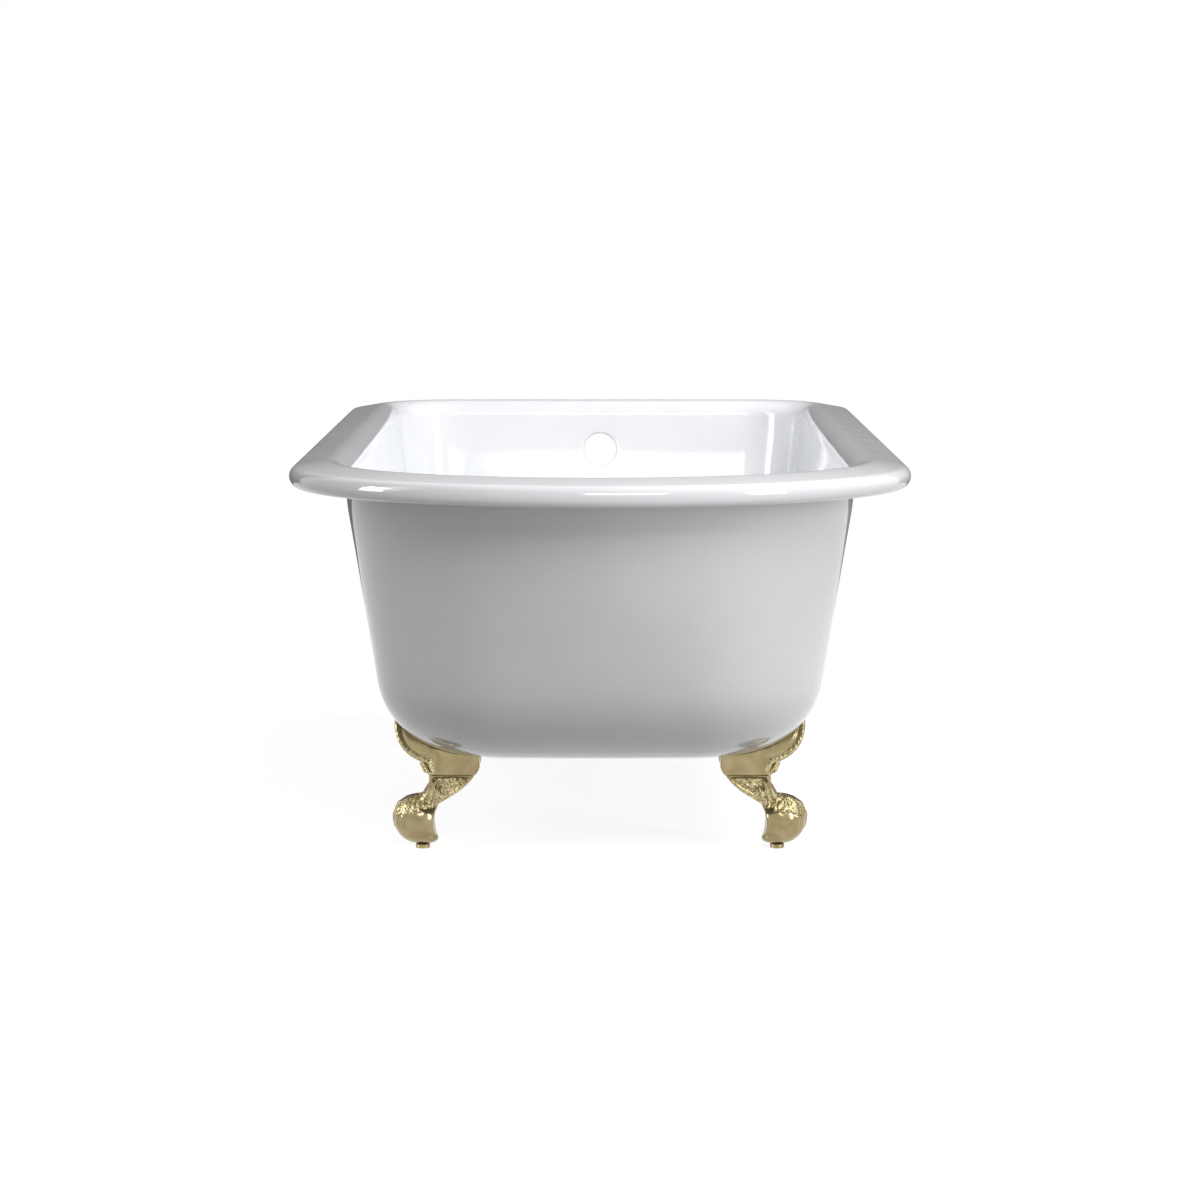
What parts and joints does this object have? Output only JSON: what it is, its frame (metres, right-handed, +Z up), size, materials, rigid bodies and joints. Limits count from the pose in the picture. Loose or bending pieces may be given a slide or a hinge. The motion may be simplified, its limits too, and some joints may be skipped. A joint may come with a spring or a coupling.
{
  "type": "cast iron bathtub",
  "caption": "Free-standing roll-top cast iron bath with a round sloping head, a square tap end, white enamel and brass ball-and-claw feet on levelling screws.",
  "frame": {"origin": "on the floor, under the middle of the rim", "axes": "+X across the bath, +Y along it from the round head to the square tap end, +Z up"},
  "size_m": [0.775, 1.7, 0.5185],
  "materials": {
    "enamelled_iron": "glossy white vitreous enamel on cast iron, inside and out",
    "polished_brass": "polished cast brass with darker recesses",
    "pad_brass": "turned brass",
    "zinc_steel": "zinc plated steel",
    "screw_steel": "bright threaded steel"
  },
  "bodies": {
    "bath": {"tub": "enamelled_iron", "foot_head_right": "polished_brass", "fixing_stud_head_right": "zinc_steel", "washer_head_right": "zinc_steel", "nut_head_right": "zinc_steel", "foot_head_left": "polished_brass", "fixing_stud_head_left": "zinc_steel", "washer_head_left": "zinc_steel", "nut_head_left": "zinc_steel", "foot_tap_right": "polished_brass", "fixing_stud_tap_right": "zinc_steel", "washer_tap_right": "zinc_steel", "nut_tap_right": "zinc_steel", "foot_tap_left": "polished_brass", "fixing_stud_tap_left": "zinc_steel", "washer_tap_left": "zinc_steel", "nut_tap_left": "zinc_steel"},
    "pad_head_right": {"levelling_pad_head_right": "pad_brass"},
    "screw_head_right": {"levelling_screw_head_right": "screw_steel"},
    "pad_head_left": {"levelling_pad_head_left": "pad_brass"},
    "screw_head_left": {"levelling_screw_head_left": "screw_steel"},
    "pad_tap_right": {"levelling_pad_tap_right": "pad_brass"},
    "screw_tap_right": {"levelling_screw_tap_right": "screw_steel"},
    "pad_tap_left": {"levelling_pad_tap_left": "pad_brass"},
    "screw_tap_left": {"levelling_screw_tap_left": "screw_steel"}
  },
  "joints": [
    {"name": "pad_travel_head_right", "type": "slide", "parent": "bath", "child": "pad_head_right", "axis": [0, 0, -1], "range_m": [0, 0.012]},
    {"name": "screw_turn_head_right", "type": "hinge", "parent": "pad_head_right", "child": "screw_head_right", "pos_m": [0.23051, -0.335, 0.03], "axis": [0, 0, -1], "range_deg": [0, 2880]},
    {"name": "pad_travel_head_left", "type": "slide", "parent": "bath", "child": "pad_head_left", "axis": [0, 0, -1], "range_m": [0, 0.012]},
    {"name": "screw_turn_head_left", "type": "hinge", "parent": "pad_head_left", "child": "screw_head_left", "pos_m": [-0.23051, -0.335, 0.03], "axis": [0, 0, -1], "range_deg": [0, 2880]},
    {"name": "pad_travel_tap_right", "type": "slide", "parent": "bath", "child": "pad_tap_right", "axis": [0, 0, -1], "range_m": [0, 0.012]},
    {"name": "screw_turn_tap_right", "type": "hinge", "parent": "pad_tap_right", "child": "screw_tap_right", "pos_m": [0.23051, 0.505, 0.03], "axis": [0, 0, -1], "range_deg": [0, 2880]},
    {"name": "pad_travel_tap_left", "type": "slide", "parent": "bath", "child": "pad_tap_left", "axis": [0, 0, -1], "range_m": [0, 0.012]},
    {"name": "screw_turn_tap_left", "type": "hinge", "parent": "pad_tap_left", "child": "screw_tap_left", "pos_m": [-0.23051, 0.505, 0.03], "axis": [0, 0, -1], "range_deg": [0, 2880]}
  ],
  "couplings": [
    {"joint": "screw_turn_head_right", "follows": "pad_travel_head_right", "rad_per_m": 4188.8},
    {"joint": "screw_turn_head_left", "follows": "pad_travel_head_left", "rad_per_m": 4188.8},
    {"joint": "screw_turn_tap_right", "follows": "pad_travel_tap_right", "rad_per_m": 4188.8},
    {"joint": "screw_turn_tap_left", "follows": "pad_travel_tap_left", "rad_per_m": 4188.8}
  ]
}
